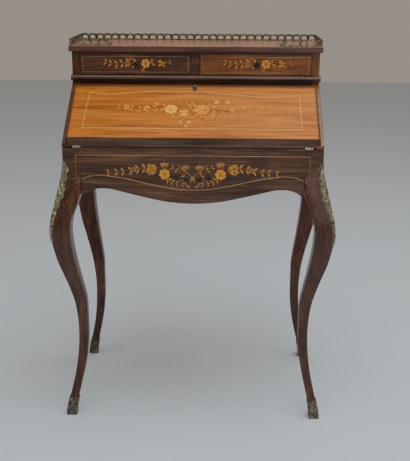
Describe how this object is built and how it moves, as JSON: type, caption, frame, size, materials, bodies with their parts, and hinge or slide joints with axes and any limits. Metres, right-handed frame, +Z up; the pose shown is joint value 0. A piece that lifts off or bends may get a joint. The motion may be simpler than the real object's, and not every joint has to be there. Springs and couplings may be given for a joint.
{
  "type": "slant-front desk",
  "caption": "Slant-front writing desk on cabriole legs with a hinged fall, drawers above it, a pierced metal gallery and metal leg mounts.",
  "frame": {"origin": "on the floor under the middle of the overall box", "axes": "+Z up, +X to the viewer's right when facing the fall, +Y from the fall towards the back"},
  "size_m": [0.7188, 0.4514, 0.9857],
  "materials": {
    "walnut": "dark polished walnut",
    "veneer": "polished dark veneer with floral marquetry",
    "fall_veneer": "polished light veneer with floral marquetry",
    "inner_wood": "plain waxed wood",
    "gilt_metal": "tarnished cast mounts",
    "brass": "aged brass",
    "iron": "dull iron"
  },
  "bodies": {
    "carcass": {"apron_back": "walnut", "apron_front": "veneer", "apron_left": "veneer", "apron_right": "veneer", "back_panel": "walnut", "chute_left": "gilt_metal", "chute_right": "gilt_metal", "drawer_divider": "walnut", "drawer_floor": "inner_wood", "gallery_back": "gilt_metal", "gallery_return_left": "gilt_metal", "gallery_return_right": "gilt_metal", "gallery_side_left": "gilt_metal", "gallery_side_right": "gilt_metal", "hinge_leaf_case_left": "brass", "hinge_leaf_case_right": "brass", "leg_back_left": "walnut", "leg_back_right": "walnut", "leg_front_left": "walnut", "leg_front_right": "walnut", "lock_rail": "walnut", "nest_shelf": "inner_wood", "nest_upright_left": "inner_wood", "nest_upright_right": "inner_wood", "sabot_back_left": "gilt_metal", "sabot_back_right": "gilt_metal", "sabot_front_left": "gilt_metal", "sabot_front_right": "gilt_metal", "side_panel_left": "veneer", "side_panel_right": "veneer", "stay_stud_left": "brass", "stay_stud_right": "brass", "top_rail": "walnut", "top_slab": "walnut", "waist_moulding": "walnut", "writing_bed": "inner_wood"},
    "fall": {"escutcheon": "gilt_metal", "fall_board": "fall_veneer", "hinge_leaf_fall_left": "brass", "hinge_leaf_fall_right": "brass", "lock_case": "iron", "stay_bracket_left": "brass", "stay_bracket_right": "brass"},
    "bolt": {"lock_bolt": "iron"},
    "left_drawer": {"drawer_left_back": "inner_wood", "drawer_left_bottom": "inner_wood", "drawer_left_front": "veneer", "drawer_left_side_inner": "inner_wood", "drawer_left_side_outer": "inner_wood"},
    "right_drawer": {"drawer_right_back": "inner_wood", "drawer_right_bottom": "inner_wood", "drawer_right_front": "veneer", "drawer_right_side_inner": "inner_wood", "drawer_right_side_outer": "inner_wood"},
    "inner_tray": {"inner_drawer": "inner_wood", "inner_drawer_knob": "brass"},
    "case_arm_left": {"stay_arm_case_left": "brass"},
    "case_arm_right": {"stay_arm_case_right": "brass"},
    "fall_arm_left": {"stay_arm_fall_left": "brass"},
    "fall_arm_right": {"stay_arm_fall_right": "brass"}
  },
  "joints": [
    {"name": "fall_hinge", "type": "hinge", "parent": "carcass", "child": "fall", "pos_m": [0, -0.19374, 0.7362], "axis": [1, 0, 0], "range_deg": [0, 146]},
    {"name": "lock_bolt_slide", "type": "slide", "parent": "fall", "child": "bolt", "axis": [0, 0.8289, 0.5594], "range_m": [0, 0.01]},
    {"name": "left_drawer_slide", "type": "slide", "parent": "carcass", "child": "left_drawer", "axis": [0, -1, 0], "range_m": [0, 0.13]},
    {"name": "right_drawer_slide", "type": "slide", "parent": "carcass", "child": "right_drawer", "axis": [0, -1, 0], "range_m": [0, 0.13]},
    {"name": "inner_drawer_slide", "type": "slide", "parent": "carcass", "child": "inner_tray", "axis": [0, -1, 0], "range_m": [0, 0.1]},
    {"name": "case_arm_left_pivot", "type": "hinge", "parent": "carcass", "child": "case_arm_left", "pos_m": [-0.3034, -0.09242, 0.76909], "axis": [1, 0, 0], "range_deg": [0, 146.1]},
    {"name": "fall_arm_left_pivot", "type": "hinge", "parent": "fall", "child": "fall_arm_left", "pos_m": [-0.3004, -0.10047, 0.7877], "axis": [1, 0, 0], "range_deg": [-146, 0]},
    {"name": "case_arm_right_pivot", "type": "hinge", "parent": "carcass", "child": "case_arm_right", "pos_m": [0.3034, -0.09242, 0.76909], "axis": [1, 0, 0], "range_deg": [0, 146.1]},
    {"name": "fall_arm_right_pivot", "type": "hinge", "parent": "fall", "child": "fall_arm_right", "pos_m": [0.3004, -0.10047, 0.7877], "axis": [1, 0, 0], "range_deg": [-146, 0]}
  ],
  "couplings": [
    {"joint": "case_arm_left_pivot", "follows": "fall_hinge", "ratio": 0.99935},
    {"joint": "fall_arm_left_pivot", "follows": "fall_hinge", "ratio": -0.99867},
    {"joint": "case_arm_right_pivot", "follows": "fall_hinge", "ratio": 0.99935},
    {"joint": "fall_arm_right_pivot", "follows": "fall_hinge", "ratio": -0.99867}
  ]
}
